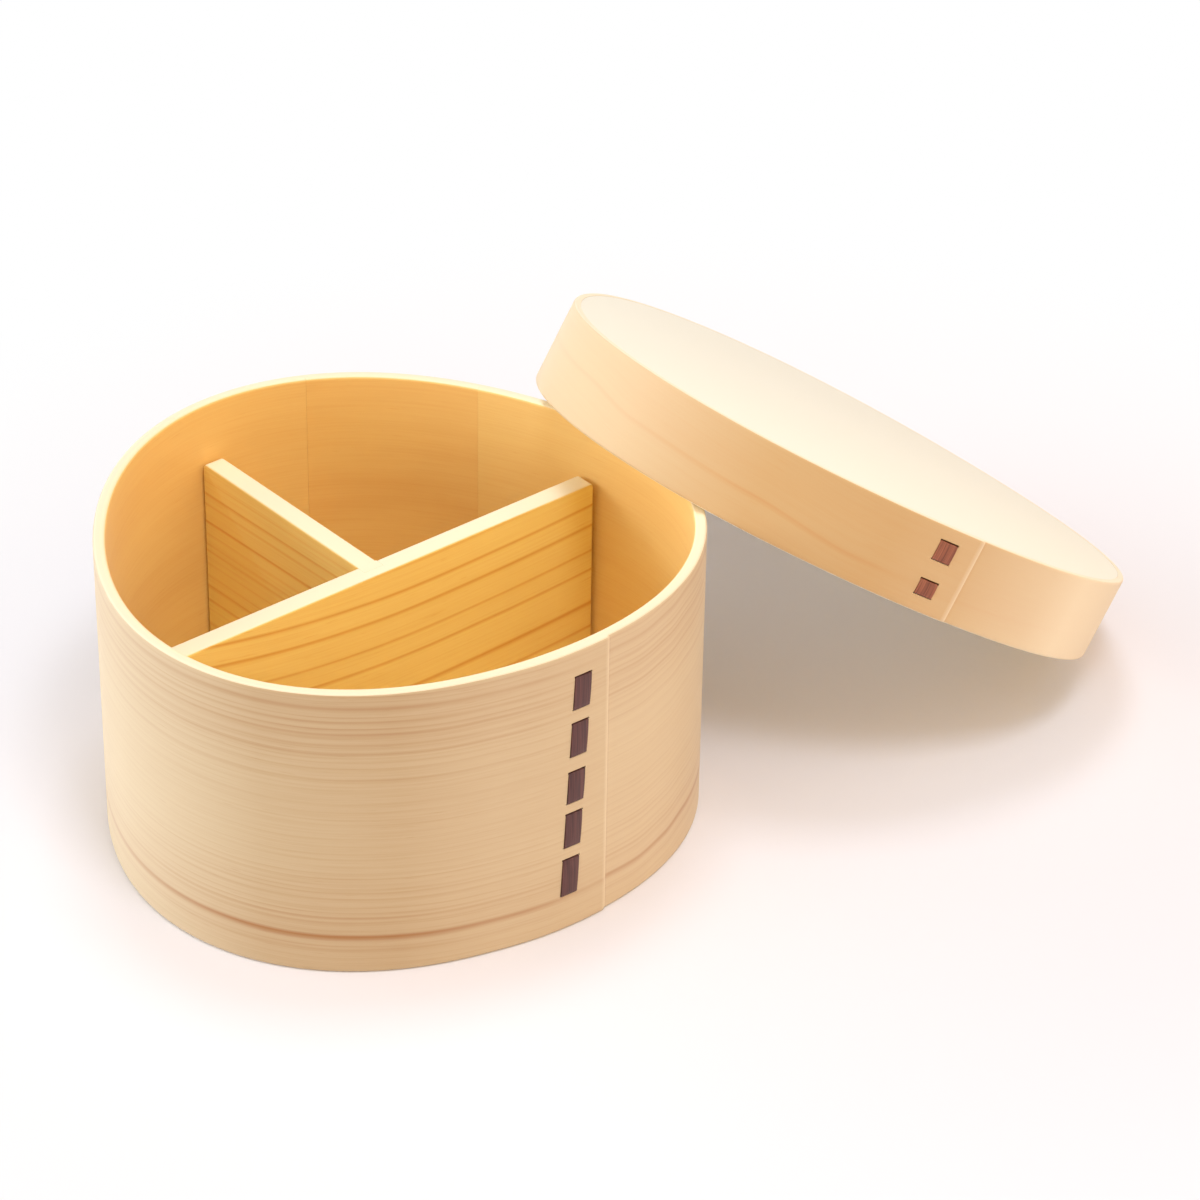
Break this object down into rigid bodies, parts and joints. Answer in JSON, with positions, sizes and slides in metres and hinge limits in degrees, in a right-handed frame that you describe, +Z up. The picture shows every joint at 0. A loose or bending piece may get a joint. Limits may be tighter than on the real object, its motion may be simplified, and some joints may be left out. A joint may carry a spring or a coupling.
{
  "type": "wooden lunch box",
  "caption": "Bentwood lunch box with a softly triangular plan, a bark-laced overlap, a loose T-shaped divider, and its shallow lid leaning on the rim.",
  "frame": {"origin": "middle of the box's underside, on the surface it stands on", "axes": "+Z up; +X towards one of the plan's rounded corners, to the right of the side with the laced overlap; +Y away from that side"},
  "size_m": [0.2329, 0.1991, 0.0928],
  "materials": {
    "outer_ply_wood": "pale, fine straight grain, bare",
    "inner_ply_wood": "warm, fine straight grain, bare",
    "board_wood": "pale, smooth, bare",
    "divider_wood": "warm, open grain lines, bare",
    "bark": "dark cherry bark, slight sheen"
  },
  "bodies": {
    "box": {"box_outer_band": "outer_ply_wood", "box_inner_band": "inner_ply_wood", "box_inner_closing_strip": "inner_ply_wood", "box_base_board": "board_wood", "box_bark_lacing": "bark"},
    "lid": {"lid_outer_band": "outer_ply_wood", "lid_inner_band": "inner_ply_wood", "lid_top_board": "board_wood", "lid_bark_lacing": "bark"},
    "divider": {"divider_long_board": "divider_wood", "divider_short_board": "divider_wood"}
  },
  "joints": [
    {"name": "lid_lift", "type": "slide", "parent": "box", "child": "lid", "axis": [0, 0, 1], "range_m": [0, 0.1]},
    {"name": "divider_lift", "type": "slide", "parent": "box", "child": "divider", "axis": [0, 0, 1], "range_m": [0, 0.075]}
  ],
  "couplings": [
    {"joint": "divider_lift", "follows": "lid_lift", "ratio": 0.75}
  ]
}
